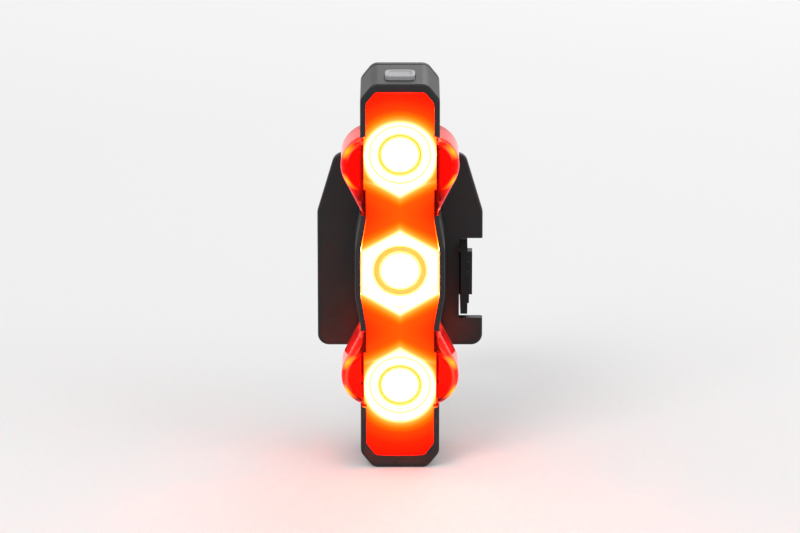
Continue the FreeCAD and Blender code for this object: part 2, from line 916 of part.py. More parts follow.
def port_cover():
    front = port_y - flap_front_reach
    plate = light_block(-flap_half_width, flap_half_width, front, flap_axis_y,
                        body_bottom, body_bottom + flap_thickness)
    bead = rod(flap_thickness / 2, spot(-flap_half_width, flap_axis_y, flap_axis_z),
               spot(flap_half_width, flap_axis_y, flap_axis_z))
    peg_reach = flap_half_width + flap_peg_length
    pegs = rod(flap_peg_radius, spot(-peg_reach, flap_axis_y, flap_axis_z),
               spot(peg_reach, flap_axis_y, flap_axis_z))
    plug = port_prism(port_opening_gap - flap_plug_gap, body_bottom + flap_thickness,
                      body_bottom + flap_thickness + flap_plug_height)
    tab = light_block(-flap_tab_half, flap_tab_half, front - flap_tab_length, front,
                      body_bottom, body_bottom + flap_thickness)
    return joined([plate, bead, pegs, plug, tab])


# Light: battery
def battery_cell():
    cell = light_block(-battery_half_width, battery_half_width, battery_front, battery_back,
                       battery_low, battery_high)
    long_edges = [edge for edge in cell.Edges if edge.BoundBox.ZLength > battery_thickness]
    return cell.makeFillet(battery_round, long_edges)


def battery_foam():
    return light_block(foam_margin - battery_half_width, battery_half_width - foam_margin,
                       battery_back, cover_front, battery_low + foam_margin, battery_high - foam_margin)


def guard_centre_y():
    return (battery_back + battery_front) / 2


def battery_guard():
    low = battery_high + guard_gap
    return light_block(-guard_half_width, guard_half_width, guard_centre_y() - guard_thickness / 2,
                       guard_centre_y() + guard_thickness / 2, low, low + guard_height)


def battery_lead(x):
    start = battery_high + guard_gap + guard_height
    bend_start = start + lead_rise
    lead_y = guard_centre_y()
    turn = lead_bend * (1 - math.cos(math.radians(45)))
    rise = Part.LineSegment(spot(x, lead_y, start), spot(x, lead_y, bend_start)).toShape()
    bend = Part.Arc(spot(x, lead_y, bend_start), spot(x, lead_y - turn, bend_start + lead_bend - turn),
                    spot(x, lead_y - lead_bend, bend_start + lead_bend)).toShape()
    run = Part.LineSegment(spot(x, lead_y - lead_bend, bend_start + lead_bend),
                           spot(x, board_back, bend_start + lead_bend)).toShape()
    path = Part.Wire([rise, bend, run])
    ring = Part.Wire([Part.makeCircle(lead_radius, spot(x, lead_y, start), Vector(0, 0, 1))])
    return path.makePipeShell([ring], True, False)


def battery_leads():
    return Part.makeCompound([battery_lead(lead_x), battery_lead(-lead_x)])


# Screws
def slotted(head, x, height, face, inward):
    half = screw_slot / 2
    reach = screw_head_radius
    depth = face + inward * screw_slot
    y_low, y_high = sorted((face, depth))
    return head.cut(light_block(x - reach, x + reach, y_low, y_high, height - half, height + half))


def cover_screws():
    screws = []
    for x, height in screw_places:
        head_front = cover_back - screw_head_height
        head = rod(screw_head_radius, spot(x, head_front, height), spot(x, cover_back, height))
        shank = rod(cover_screw_core, spot(x, cover_back - cover_screw_length, height),
                    spot(x, head_front, height))
        screws.append(joined([slotted(head, x, height, cover_back, -1), shank]))
    return Part.makeCompound(screws)


def board_screws():
    screws = []
    for x, height in screw_places:
        head_front = board_front - board_screw_head_height
        head = rod(board_screw_head_radius, spot(x, head_front, height), spot(x, board_front, height))
        shank = rod(board_screw_core, spot(x, board_front, height),
                    spot(x, board_front + board_screw_length, height))
        screws.append(joined([slotted(head, x, height, head_front, 1), shank]))
    return Part.makeCompound(screws)


nodes = {
    "saddle_pad": saddle_pad(),
    "bracket_body": bracket_body(),
    "strap_pin": strap_pin(),
    "catch_spring": catch_spring(),
    "catch_rivet": catch_rivet(),
    "strap_band": strap_band(),
    "strap_tail": strap_tail(),
    "rear_cover": rear_cover(),
    "cover_gasket": cover_gasket(),
    "front_housing": front_housing(),
    "outer_lens": outer_lens(),
    "optic_bezel": optic_bezel(),
    "optic_tray": optic_tray(),
    "side_leds": side_leds(),
    "main_board": main_board(),
    "driver_chip": board_block(0, driver_z, chip_half, chip_half, chip_height),
    "controller_chip": board_block(0, controller_z, controller_half_width, chip_half, chip_height),
    "inductor": board_block(inductor_x, inductor_z, inductor_half, inductor_half, inductor_height),
    "capacitors": capacitors(),
    "switch_body": switch_body(),
    "switch_stem": switch_stem(),
    "power_button": power_button(),
    "button_seal": button_seal(),
    "usb_shell": usb_shell(),
    "usb_tongue": usb_tongue(),
    "port_cover": port_cover(),
    "battery_cell": battery_cell(),
    "battery_foam": battery_foam(),
    "battery_guard": battery_guard(),
    "battery_leads": battery_leads(),
    "cover_screws": cover_screws(),
    "board_screws": board_screws(),
}
emitters = {"upper": led_pitch, "middle": 0.0, "lower": -led_pitch}
for place, centre in emitters.items():
    hexagonal = place == "middle"
    rings = hex_rings if hexagonal else round_rings
    nodes[place + "_collimator"] = collimator(centre, rings, hexagonal)
    nodes[place + "_led_base"] = led_base(centre)
    nodes[place + "_led_dome"] = led_dome(centre)

for name, shape in nodes.items():
    shape.exportStep("parts/" + name + ".step")
    box = shape.BoundBox
    print(name, shape.isValid(), len(shape.Solids), round(shape.Volume, 1),
          [round(value, 2) for value in (box.XMin, box.XMax, box.YMin, box.YMax, box.ZMin, box.ZMax)])
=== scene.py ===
import bmesh
import bpy
import math
from mathutils import Matrix, Vector


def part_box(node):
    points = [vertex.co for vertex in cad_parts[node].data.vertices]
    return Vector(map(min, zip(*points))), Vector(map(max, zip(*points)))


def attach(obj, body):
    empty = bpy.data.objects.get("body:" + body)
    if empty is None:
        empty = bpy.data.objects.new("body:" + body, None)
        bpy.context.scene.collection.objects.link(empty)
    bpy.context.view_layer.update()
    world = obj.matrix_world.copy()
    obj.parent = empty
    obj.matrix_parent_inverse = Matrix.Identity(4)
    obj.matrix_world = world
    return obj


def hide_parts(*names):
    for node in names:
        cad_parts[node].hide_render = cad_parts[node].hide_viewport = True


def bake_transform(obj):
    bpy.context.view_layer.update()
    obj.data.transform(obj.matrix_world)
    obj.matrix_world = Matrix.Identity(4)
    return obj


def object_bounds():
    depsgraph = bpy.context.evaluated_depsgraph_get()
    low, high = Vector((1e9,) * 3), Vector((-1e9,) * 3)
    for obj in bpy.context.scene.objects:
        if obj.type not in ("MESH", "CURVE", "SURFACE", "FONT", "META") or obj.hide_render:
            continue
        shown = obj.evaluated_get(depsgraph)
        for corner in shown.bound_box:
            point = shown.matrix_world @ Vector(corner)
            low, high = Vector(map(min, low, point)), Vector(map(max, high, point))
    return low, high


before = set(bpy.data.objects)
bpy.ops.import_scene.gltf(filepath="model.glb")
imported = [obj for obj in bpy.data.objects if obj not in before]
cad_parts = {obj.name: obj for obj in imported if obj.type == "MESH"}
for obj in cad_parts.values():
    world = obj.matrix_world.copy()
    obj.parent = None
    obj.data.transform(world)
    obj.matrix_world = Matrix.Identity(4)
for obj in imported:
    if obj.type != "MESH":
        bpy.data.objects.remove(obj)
cadLow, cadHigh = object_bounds()
mm = 0.001
weld = 0.001 * mm  # points nearer than this are merged
touching = 0.01 * mm  # places nearer than this count as one
print("frame loaded:", len(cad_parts), "nodes")


def centreOf(node):
    low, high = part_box(node)
    return (low + high) / 2


ledCentres = {place: centreOf(place + "_led_base") for place in ("upper", "middle", "lower")}
lightMiddle = ledCentres["middle"].z


# A socket of a material; an expression on these adds its Math nodes
class Value:
    def __init__(self, paint, socket):
        self.paint = paint
        self.socket = socket

    def __add__(self, other):
        return self.paint.maths("ADD", self, other)

    def __radd__(self, other):
        return self.paint.maths("ADD", other, self)

    def __sub__(self, other):
        return self.paint.maths("SUBTRACT", self, other)

    def __rsub__(self, other):
        return self.paint.maths("SUBTRACT", other, self)

    def __mul__(self, other):
        return self.paint.maths("MULTIPLY", self, other)

    def __rmul__(self, other):
        return self.paint.maths("MULTIPLY", other, self)

    def __truediv__(self, other):
        return self.paint.maths("DIVIDE", self, other)

    def __abs__(self):
        return self.paint.maths("ABSOLUTE", self)

    def atLeast(self, other):
        return self.paint.maths("MAXIMUM", self, other)

    def atMost(self, other):
        return self.paint.maths("MINIMUM", self, other)


# The node tree of a new material or world
class Paint:
    def __init__(self, owner):
        self.owner = owner
        owner.use_nodes = True
        self.tree = owner.node_tree
        self.tree.nodes.clear()

    def node(self, kind, settings=None, sockets=None, out=0):
        made = self.tree.nodes.new(kind)
        for key, value in (settings or {}).items():
            if key == "stops":
                self.setStops(made.color_ramp, value)
            else:
                setattr(made, key, value)
        for key, value in (sockets or {}).items():
            self.plug(made.inputs[key], value)
        return Value(self, made.outputs[out]) if made.outputs else made

    def setStops(self, ramp, stops):
        while len(ramp.elements) < len(stops):
            ramp.elements.new(1.0)
        for element, (place, colour) in zip(ramp.elements, stops):
            element.position = place
            element.color = (*colour, 1)

    def plug(self, target, value):
        if isinstance(value, Value):
            self.tree.links.new(value.socket, target)
        elif target.type == "RGBA":
            target.default_value = (*value, 1)
        else:
            target.default_value = value

    def maths(self, operation, *values):
        return self.node("ShaderNodeMath", {"operation": operation}, dict(enumerate(values)))

    def place(self):
        return self.node("ShaderNodeTexCoord", out="Object")

    def along(self, axis):
        return self.node("ShaderNodeSeparateXYZ", {}, {0: self.place()}, out=axis)

    def noise(self, scale, detail=2.0, stretch=(1, 1, 1)):
        mapped = self.node("ShaderNodeMapping", {}, {"Vector": self.place(), "Scale": stretch})
        return self.node("ShaderNodeTexNoise", {}, {"Vector": mapped, "Scale": scale, "Detail": detail})

    def mix(self, amount, first, second):
        return self.node("ShaderNodeMix", {"data_type": "RGBA"}, {0: amount, 6: first, 7: second}, out=2)

    def ramp(self, amount, stops):
        return self.node("ShaderNodeValToRGB", {"stops": stops}, {0: amount})

    def bump(self, height, distance, strength=1.0):
        sockets = {"Height": height, "Distance": distance, "Strength": strength}
        return self.node("ShaderNodeBump", {}, sockets)

    def surface(self, **sockets):
        named = {key.replace("_", " "): value for key, value in sockets.items()}
        shader = self.node("ShaderNodeBsdfPrincipled", {}, named)
        self.node("ShaderNodeOutputMaterial", {}, {"Surface": shader})
        return self.owner


def newPaint(name):
    return Paint(bpy.data.materials.new(name))


# Black moulded plastic: a fine spark-eroded grain with faint rubbed patches
housingFinish = {
    "tone": (0.008, 0.008, 0.009),
    "rubbed": (0.017, 0.017, 0.018),
    "grain": 3800,
    "patches": 110,
    "roughness": 0.36,
    "grainRoughness": 0.1,
    "patchRoughness": 0.08,
    "shine": 0.28,
    "relief": 0.03 * mm,
}


def housingPaint():
    paint = newPaint("moulded_black")
    finish = housingFinish
    grain = paint.noise(finish["grain"], 3.0)
    patches = paint.noise(finish["patches"], 4.0)
    uneven = grain * finish["grainRoughness"]
    return paint.surface(
        Base_Color=paint.mix(patches, finish["tone"], finish["rubbed"]),
        Roughness=finish["roughness"] + uneven + patches * finish["patchRoughness"],
        Specular_IOR_Level=finish["shine"],
        Normal=paint.bump(grain, finish["relief"], 0.5),
    )


# Black silicone rubber, duller, with a bloom of dust
rubberFinish = {
    "tone": (0.010, 0.010, 0.011),
    "dust": (0.021, 0.0205, 0.020),
    "dustGrain": 300,
    "dustFrom": 0.45,
    "dustGain": 2.2,
    "grain": 2400,
    "roughness": 0.58,
    "grainRoughness": 0.16,
    "shine": 0.22,
    "relief": 0.04 * mm,
}


def rubberPaint():
    paint = newPaint("silicone_black")
    finish = rubberFinish
    grain = paint.noise(finish["grain"], 4.0)
    dust = paint.noise(finish["dustGrain"], 6.0)
    dusty = (dust - finish["dustFrom"]).atLeast(0) * finish["dustGain"]
    return paint.surface(
        Base_Color=paint.mix(dusty, finish["tone"], finish["dust"]),
        Roughness=finish["roughness"] + grain * finish["grainRoughness"],
        Specular_IOR_Level=finish["shine"],
        Normal=paint.bump(grain, finish["relief"], 0.5),
    )


# Clear red lens, which tints what it mirrors too. Its side windows carry a painted red glow, with a
# painted amber glint at each end of their rim
lensFinish = {
    "tint": (0.95, 0.085, 0.04),
    "bend": 1.34,  # index of refraction
    "mirror": (1.0, 0.2, 0.12),
    "smear": 70,
    "roughness": 0.015,
    "smearRoughness": 0.05,
    "windowPaintedGlow": (0.05, 0.0, 0.0),
    "glint": (1.0, 0.12, 0.0),
    "windowX": 6.0 * mm,
    "windowZ": 24.2 * mm,
    "rimRadius": 6.5 * mm,
    "rimWide": 0.8 * mm,
    "glintZ": 3.3 * mm,
    "glintTall": 1.8 * mm,
    "glintFront": -37.6 * mm,
    "inner": 8.2 * mm,
    "strength": 6.0,
}


def bell(amount, middle, reach):
    return (1 - abs(amount - middle) / reach).atLeast(0)


def lensPaint():
    paint = newPaint("red_lens")
    finish = lensFinish
    smear = paint.noise(finish["smear"], 4.0)
    outwards = abs(paint.along("X"))
    fromWindow = abs(paint.along("Z") - lightMiddle) - finish["windowZ"]
    across = outwards - finish["windowX"]
    radius = paint.maths("SQRT", across * across + fromWindow * fromWindow)
    rim = bell(radius, finish["rimRadius"], finish["rimWide"])
    ends = bell(abs(fromWindow), finish["glintZ"], finish["glintTall"])
    front = ((finish["glintFront"] - paint.along("Y")) / mm).atLeast(0).atMost(1)
    inWindow = ((outwards - finish["inner"]) / mm).atLeast(0).atMost(1)
    # painted amber glint: emission on the side window's rim at each end, near the front
    glint = rim * ends * front * inWindow
    # painted red glow over the side windows
    windowPaintedGlow = paint.mix(inWindow, (0, 0, 0), finish["windowPaintedGlow"])
    return paint.surface(
        Base_Color=finish["tint"],
        Roughness=finish["roughness"] + smear * finish["smearRoughness"],
        Transmission_Weight=1.0,
        IOR=finish["bend"],
        Specular_Tint=finish["mirror"],
        Emission_Color=paint.mix(glint, windowPaintedGlow, finish["glint"]),
        Emission_Strength=finish["strength"],
    )


# The lit optics. Colours are given where the red lens turns them white, yellow, orange or red
glow = {
    "strength": 50.0,
    "window": 7.6 * mm,
    "hexWindow": 8.05 * mm,
    "dropReach": 1.15,
    "scale": 10 * mm,
    "moulding": (0.7, 0.7, 0.7),
    "roughness": 0.15,
}
white = (1.0, 1.0, 1.0)
cream = (1.0, 0.5, 0.3)
yellow = (1.0, 0.22, 0.08)
lemon = (1.0, 0.15, 0.014)
amber = (1.0, 0.13, 0.012)
orange = (0.6, 0.045, 0.0)
deepRed = (0.1, 0.004, 0.0)
# Colour stops from an emitter's middle outwards, on the glow's scale
roundGlow = [
    (0.0, white), (0.36, white), (0.39, cream), (0.405, yellow), (0.42, lemon), (0.44, lemon),
    (0.455, yellow), (0.475, cream), (0.51, white), (0.60, white), (0.62, cream), (0.632, yellow),
    (0.648, yellow), (0.66, cream), (0.69, white), (0.78, cream),
]
hexGlow = [
    (0.0, white), (0.37, white), (0.415, cream), (0.43, yellow), (0.45, lemon), (0.535, lemon),
    (0.555, yellow), (0.575, cream), (0.61, white), (0.78, white), (0.82, cream),
]


def radiusFrom(paint, centre):
    sideways = paint.along("X") - centre.x
    upwards = paint.along("Z") - centre.z
    return paint.maths("SQRT", sideways * sideways + upwards * upwards)


# How far a point lies outside the window round an emitter: a circle with a point towards the middle
def outsideDrop(paint, centre):
    towards = 1 if centre.z < lightMiddle else -1
    lean = math.acos(1 / glow["dropReach"])
    sideways = abs(paint.along("X") - centre.x)
    inwards = (paint.along("Z") - centre.z) * towards
    flank = sideways * math.sin(lean) + inwards * math.cos(lean) - glow["window"]
    point = flank.atLeast(glow["window"] * math.cos(lean) - inwards)
    return (radiusFrom(paint, centre) - glow["window"]).atMost(point)


def outsideHexagon(paint, centre):
    sideways = paint.along("X") - centre.x
    upwards = paint.along("Z") - centre.z
    half = math.radians(60)
    first = abs(sideways * math.cos(half) + upwards * math.sin(half))
    second = abs(sideways * math.cos(half) - upwards * math.sin(half))
    return abs(sideways).atLeast(first).atLeast(second) - glow["hexWindow"]


def opticPaint(name, centre, stops):
    paint = newPaint(name)
    radius = radiusFrom(paint, centre) / glow["scale"]
    return paint.surface(
        Base_Color=glow["moulding"],
        Roughness=glow["roughness"],
        Emission_Color=paint.ramp(radius, stops),
        Emission_Strength=glow["strength"],
    )


# The black plate round the windows carries a painted halo of their light, amber at the edge and
# then deep red, and a warmer painted glow between the windows
bezelFinish = {
    "tone": (0.02, 0.02, 0.02),
    "grain": 3000,
    "roughness": 0.35,
    "grainRoughness": 0.1,
    "paintedWarmGlow": (0.3, 0.026, 0.0),
    "paintedGlowTall": 28 * mm,
    "paintedGlowFade": 8 * mm,
    "paintedGlowWide": 9 * mm,
}
# Painted halo colours outward from the window edge, on the glow's scale
bezelHalo = [
    (0.0, white), (0.03, cream), (0.07, yellow), (0.12, amber), (0.18, orange),
    (0.3, (0.3, 0.014, 0.0)), (0.55, deepRed), (1.0, (0.03, 0.0, 0.0)),
]


def bezelPaint():
    paint = newPaint("lit_bezel")
    finish = bezelFinish
    rounds = outsideDrop(paint, ledCentres["upper"]).atMost(outsideDrop(paint, ledCentres["lower"]))
    nearest = rounds.atMost(outsideHexagon(paint, ledCentres["middle"]))
    # painted warm glow between the windows, strongest near the middle
    upwards = abs(paint.along("Z") - lightMiddle)
    between = ((finish["paintedGlowTall"] - upwards) / finish["paintedGlowFade"]).atLeast(0).atMost(1)
    inner = ((finish["paintedGlowWide"] - abs(paint.along("X"))) / finish["paintedGlowWide"]).atLeast(0)
    lighten = {"data_type": "RGBA", "blend_type": "LIGHTEN"}
    # painted halo: emission from the black plate by distance outside the nearest window
    halo = paint.ramp(nearest / glow["scale"], bezelHalo)
    sockets = {0: between * inner, 6: halo, 7: finish["paintedWarmGlow"]}
    return paint.surface(
        Base_Color=finish["tone"],
        Roughness=finish["roughness"] + paint.noise(finish["grain"]) * finish["grainRoughness"],
        Emission_Color=paint.node("ShaderNodeMix", lighten, sockets, out=2),
        Emission_Strength=glow["strength"],
    )


# The small emitters beside the side windows
emitterFinish = {
    "tone": (0.8, 0.7, 0.3),
    "light": (1.0, 0.20, 0.02),
    "lighter": (1.0, 0.26, 0.03),
    "grain": 2500,
    "roughness": 0.4,
}


def emitterPaint():
    paint = newPaint("lit_emitter")
    finish = emitterFinish
    return paint.surface(
        Base_Color=finish["tone"],
        Roughness=finish["roughness"],
        Emission_Color=paint.mix(paint.noise(finish["grain"]), finish["light"], finish["lighter"]),
        Emission_Strength=glow["strength"],
    )


# Bright steel with fine level lines
steelFinish = {
    "tone": (0.55, 0.55, 0.56),
    "bright": (0.68, 0.68, 0.68),
    "lines": 900,
    "stretch": (1, 1, 8),
    "roughness": 0.22,
    "lineRoughness": 0.16,
    "relief": 0.01 * mm,
}


def steelPaint():
    paint = newPaint("bright_steel")
    finish = steelFinish
    lines = paint.noise(finish["lines"], 3.0, finish["stretch"])
    return paint.surface(
        Base_Color=paint.mix(lines, finish["tone"], finish["bright"]),
        Metallic=1.0,
        Roughness=finish["roughness"] + lines * finish["lineRoughness"],
        Normal=paint.bump(lines, finish["relief"], 0.4),
    )


# Green solder mask, raised and paler over the copper
boardFinish = {
    "mask": (0.008, 0.07, 0.03),
    "overCopper": (0.012, 0.12, 0.05),
    "tracks": 380,
    "stretch": (1, 1, 0.25),
    "edge": 30,
    "roughness": 0.3,
    "relief": 0.03 * mm,
}


def boardPaint():
    paint = newPaint("solder_mask")
    finish = boardFinish
    tracks = paint.noise(finish["tracks"], 0.0, finish["stretch"])
    copper = ((tracks - 0.5).atLeast(0) * finish["edge"]).atMost(1)
    return paint.surface(
        Base_Color=paint.mix(copper, finish["mask"], finish["overCopper"]),
        Roughness=finish["roughness"],
        Normal=paint.bump(copper, finish["relief"], 0.6),
    )


# The plain parts: two tones mixed by a grain, which also roughens and raises the surface a little
plainFinishes = {
    "button": {"name": "button_silicone", "tones": [(0.30, 0.30, 0.31), (0.38, 0.38, 0.39)],
               "roughness": 0.45, "grain": 900},
    "chip": {"name": "moulded_epoxy", "tones": [(0.015, 0.015, 0.016), (0.03, 0.03, 0.03)],
             "roughness": 0.45, "grain": 500},
    "cell": {"name": "foil_pouch", "tones": [(0.50, 0.52, 0.55), (0.62, 0.64, 0.67)],
             "roughness": 0.25, "grain": 260},
    "foam": {"name": "foam_sheet", "tones": [(0.05, 0.05, 0.055), (0.10, 0.10, 0.105)],
             "roughness": 0.8, "grain": 3500},
    "wire": {"name": "wire_sleeve", "tones": [(0.45, 0.015, 0.015), (0.6, 0.03, 0.02)],
             "roughness": 0.35, "grain": 500},
}
plainGrain = {"roughness": 0.1, "relief": 0.02 * mm}


def plainPaint(finish):
    paint = newPaint(finish["name"])
    grain = paint.noise(finish["grain"], 4.0)
    return paint.surface(
        Base_Color=paint.mix(grain, *finish["tones"]),
        Roughness=finish["roughness"] + grain * plainGrain["roughness"],
        Normal=paint.bump(grain, plainGrain["relief"], 0.3),
    )


paints = {
    "housing": housingPaint(),
    "rubber": rubberPaint(),
    "lens": lensPaint(),
    "bezel": bezelPaint(),
    "emitter": emitterPaint(),
    "steel": steelPaint(),
    "board": boardPaint(),
    "upper": opticPaint("upper_optic_lit", ledCentres["upper"], roundGlow),
    "middle": opticPaint("middle_optic_lit", ledCentres["middle"], hexGlow),
    "lower": opticPaint("lower_optic_lit", ledCentres["lower"], roundGlow),
}
for part, finish in plainFinishes.items():
    paints[part] = plainPaint(finish)
print("finishes made")

# The finish of each node that keeps its solid
wornBy = {
    "housing": ["bracket_body", "rear_cover", "front_housing", "optic_tray"],
    "lens": ["outer_lens"],
    "bezel": ["optic_bezel"],
    "emitter": ["side_leds"],
    "steel": ["strap_pin", "catch_spring", "catch_rivet", "usb_shell", "board_screws"],
    "board": ["main_board", "battery_guard"],
    "chip": ["driver_chip", "controller_chip", "inductor", "capacitors", "switch_body", "switch_stem",
             "usb_tongue"],
    "cell": ["battery_cell"],
    "wire": ["battery_leads"],
    "upper": ["upper_led_base", "upper_led_dome"],
    "middle": ["middle_led_base", "middle_led_dome"],
    "lower": ["lower_led_base", "lower_led_dome"],
}
for finish, nodes in wornBy.items():
    for node in nodes:
        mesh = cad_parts[node].data
        mesh.materials.clear()
        mesh.materials.append(paints[finish])


# Makes a bmesh a piece of the scene; it rides a body unless that is None
def addPiece(name, shape, finish, body, replaced):
    bmesh.ops.remove_doubles(shape, verts=shape.verts, dist=weld)
    bmesh.ops.recalc_face_normals(shape, faces=shape.faces)
    mesh = bpy.data.meshes.new(name)
    shape.to_mesh(mesh)
    shape.free()
    mesh.materials.append(paints[finish])
    mesh.shade_smooth()
    piece = bpy.data.objects.new(name, mesh)
    bpy.context.scene.collection.objects.link(piece)
    if body:
        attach(piece, body)
    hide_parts(*replaced)
    return piece


def roundEdges(piece, width, segments=2, angle=32):
    bevel = piece.modifiers.new("edges", "BEVEL")
    bevel.width = width
    bevel.segments = segments
    bevel.limit_method = "ANGLE"
    bevel.angle_limit = math.radians(angle)
    bevel.harden_normals = True


def grown(made, kind):
    return [item for item in made["geom"] if isinstance(item, kind)]


# Extrudes faces; unless they are kept, the new faces take their place
def pushFaces(shape, faces, way, keep=False):
    made = bmesh.ops.extrude_face_region(shape, geom=faces, use_keep_orig=keep)
    bmesh.ops.translate(shape, vec=way, verts=grown(made, bmesh.types.BMVert))
    if not keep:
        bmesh.ops.delete(shape, geom=faces, context="FACES")
    return grown(made, bmesh.types.BMFace)


# The rubber strap: one band from the pin, round the post and along to the rounded loose end
strap = {
    "radius": 13.6 * mm,
    "thick": 1.5 * mm,
    "halfWidth": 9.0 * mm,
    "tip": -23.0 * mm,
    "tipRows": [0.06 * mm, 0.4 * mm],
    "bendRows": [step * mm for step in (-8.5, -7.0, -5.8, -5.0, -4.3, -3.6, -2.9, -2.2)],
    "wrapSteps": 36,
    "anchorRows": [step * mm for step in (-2.5, -5.0, -7.5, -9.4)],
    "shoulder": -9.65 * mm,
    "tongue": 6.1 * mm,
    "pin": Vector((-14.0, -12.0, 0)) * mm,
    "loopInner": 0.97 * mm,
    "loopOuter": 2.0 * mm,
    "loopRows": 16,
    "loopStep": 16,  # degrees
    "slots": [-12.0 * mm, -17.6 * mm],
    "slotWide": 3.4 * mm,
    "slotTall": 10.8 * mm,
    "slotCorner": 0.8 * mm,
    "panelEnd": -2.0 * mm,
    "panelGap": 1.5 * mm,
    "border": 1.3 * mm,
    "slope": 0.1 * mm,
    "sunk": 0.25 * mm,
    "ribs": [0.8 * mm, 2.1 * mm],  # from the tip
    "ribWide": 0.65 * mm,
    "ribTall": 0.35 * mm,
    "ribReach": 0.82,
    "edge": 0.3 * mm,
}


# The loose end narrows to a round tip
def halfWidthAt(y):
    fromDisc = min(y - (strap["tip"] + strap["halfWidth"]), 0)
    return math.sqrt(strap["halfWidth"] ** 2 - fromDisc ** 2)


# Points across a row; a rib's two rows share the width of its narrower one, so its ends are square
def strapColumns(wide, ribWide):
    hole = strap["slotTall"] / 2
    inner = min(hole, ribWide * strap["ribReach"])
    corner = inner - strap["slotCorner"] * min(inner / hole, 1)
    outer = (inner + wide) / 2
    half = [corner / 2, corner, inner, outer, wide]
    return [-value for value in reversed(half)] + [0] + half


# Rows along the strap: foot on its inner face, way out, thickness and columns
def strapRows():
    rows = []

    def addRow(foot, way, thick, wide, ribWide=None):
        rows.append((foot, way, thick, strapColumns(wide, ribWide or wide)))

    halfSlot = strap["slotWide"] / 2
    corner = strap["slotCorner"]
    right = Vector((1, 0, 0))
    left = Vector((-1, 0, 0))
    straight = [strap["tip"] + step for step in strap["tipRows"]]
    ribLows = [strap["tip"] + rib for rib in strap["ribs"]]
    for low in ribLows:
        straight += [low, low + strap["ribWide"]]
    for slot in sorted(strap["slots"]):
        straight += [slot - halfSlot, slot - halfSlot + corner, slot + halfSlot - corner, slot + halfSlot]
    straight += strap["bendRows"]
    for y in straight:
        inRib = [low for low in ribLows if -touching < y - low < strap["ribWide"] + touching]
        foot = Vector((strap["radius"], y, 0))
        addRow(foot, right, strap["thick"], halfWidthAt(y), halfWidthAt((inRib or [y])[0]))
    for step in range(strap["wrapSteps"] + 1):
        turn = math.pi * step / strap["wrapSteps"]
        out = Vector((math.cos(turn), math.sin(turn), 0))
        addRow(out * strap["radius"], out, strap["thick"], strap["halfWidth"])
    for y in strap["anchorRows"]:
        addRow(Vector((-strap["radius"], y, 0)), left, strap["thick"], strap["halfWidth"])
    shoulder = Vector((-strap["radius"], strap["shoulder"], 0))
    addRow(shoulder, left, strap["thick"], strap["tongue"])
    for step in range(strap["loopRows"]):
        turn = math.radians(180 + strap["loopStep"] * step)
        out = Vector((math.cos(turn), math.sin(turn), 0))
        foot = strap["pin"] + out * strap["loopInner"]
        addRow(foot, out, strap["loopOuter"] - strap["loopInner"], strap["tongue"])
    return rows


def inSlot(point):
    inRow = any(abs(point.y - slot) < strap["slotWide"] / 2 for slot in strap["slots"])
    return point.x > 0 and inRow and abs(point.z) < strap["slotTall"] / 2


def roundSlotCorners(shape):
    pull = strap["slotCorner"] * (1 - math.sqrt(0.5))
    for slot in strap["slots"]:
        for vert in shape.verts:
            across = vert.co.y - slot
            onEnd = abs(abs(across) - strap["slotWide"] / 2) < touching
            onSide = abs(abs(vert.co.z) - strap["slotTall"] / 2) < touching
            if vert.co.x > 0 and onEnd and onSide:
                vert.co.y -= math.copysign(pull, across)
                vert.co.z -= math.copysign(pull, vert.co.z)


# A shallow panel round the outside, from the bend of the loose end to near the anchor's shoulder
def sinkPanel(shape, outside):
    low = strap["shoulder"] + strap["panelGap"]
    panel = []
    for face in outside:
        middle = face.calc_center_median()
        byAnchor = middle.x < 0 and middle.y > low
        if middle.y > strap["panelEnd"] or byAnchor:
            panel.append(face)
    bmesh.ops.inset_region(shape, faces=panel, thickness=strap["border"], use_even_offset=True)
    bmesh.ops.inset_region(shape, faces=panel, thickness=strap["slope"], depth=-strap["sunk"],
                           use_even_offset=True)


# Finger ribs across the pull end
def raiseRibs(shape, outside):
    picked = []
    for face in outside:
        middle = face.calc_center_median()
        for rib in strap["ribs"]:
            low = strap["tip"] + rib
            inRib = 0 < middle.y - low < strap["ribWide"]
            if middle.x > 0 and inRib and abs(middle.z) < strap["ribReach"] * halfWidthAt(low):
                picked.append(face)
    pushFaces(shape, picked, (strap["ribTall"], 0, 0))


def makeStrap():
    rows = strapRows()
    columnCount = len(rows[0][3])
    shape = bmesh.new()
    bmesh.ops.create_grid(shape, x_segments=len(rows) - 1, y_segments=columnCount - 1, size=1)
    out = shape.verts.layers.float_vector.new("out")
    for vert in shape.verts:
        foot, outward, thick, columns = rows[round((vert.co.x + 1) / 2 * (len(rows) - 1))]
        column = columns[round((vert.co.y + 1) / 2 * (columnCount - 1))]
        vert.co = foot + Vector((0, 0, column))
        vert[out] = outward * thick
    holes = [face for face in shape.faces if inSlot(face.calc_center_median())]
    bmesh.ops.delete(shape, geom=holes, context="FACES")
    roundSlotCorners(shape)
    outer = bmesh.ops.extrude_face_region(shape, geom=shape.faces[:], use_keep_orig=True)
    for vert in grown(outer, bmesh.types.BMVert):
        vert.co += vert[out]
    outside = grown(outer, bmesh.types.BMFace)
    raiseRibs(shape, outside)
    sinkPanel(shape, [face for face in outside if face.is_valid])
    piece = addPiece("strap", shape, "rubber", None, ["strap_band", "strap_tail"])
    roundEdges(piece, strap["edge"])
    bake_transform(piece)


makeStrap()
print("strap made")


# The pad between the bracket and the post, with grip ribs along its hollow side
pad = {
    "inner": 13.6 * mm,
    "outer": 15.2 * mm,
    "halfAngle": 52,  # degrees
    "halfHeight": 9.0 * mm,
    "ribs": 6,
    "groove": 0.45 * mm,
    "grooveTall": 0.9 * mm,
    "grooveFloor": 0.6,
    "steps": 26,
    "edge": 0.2 * mm,
}


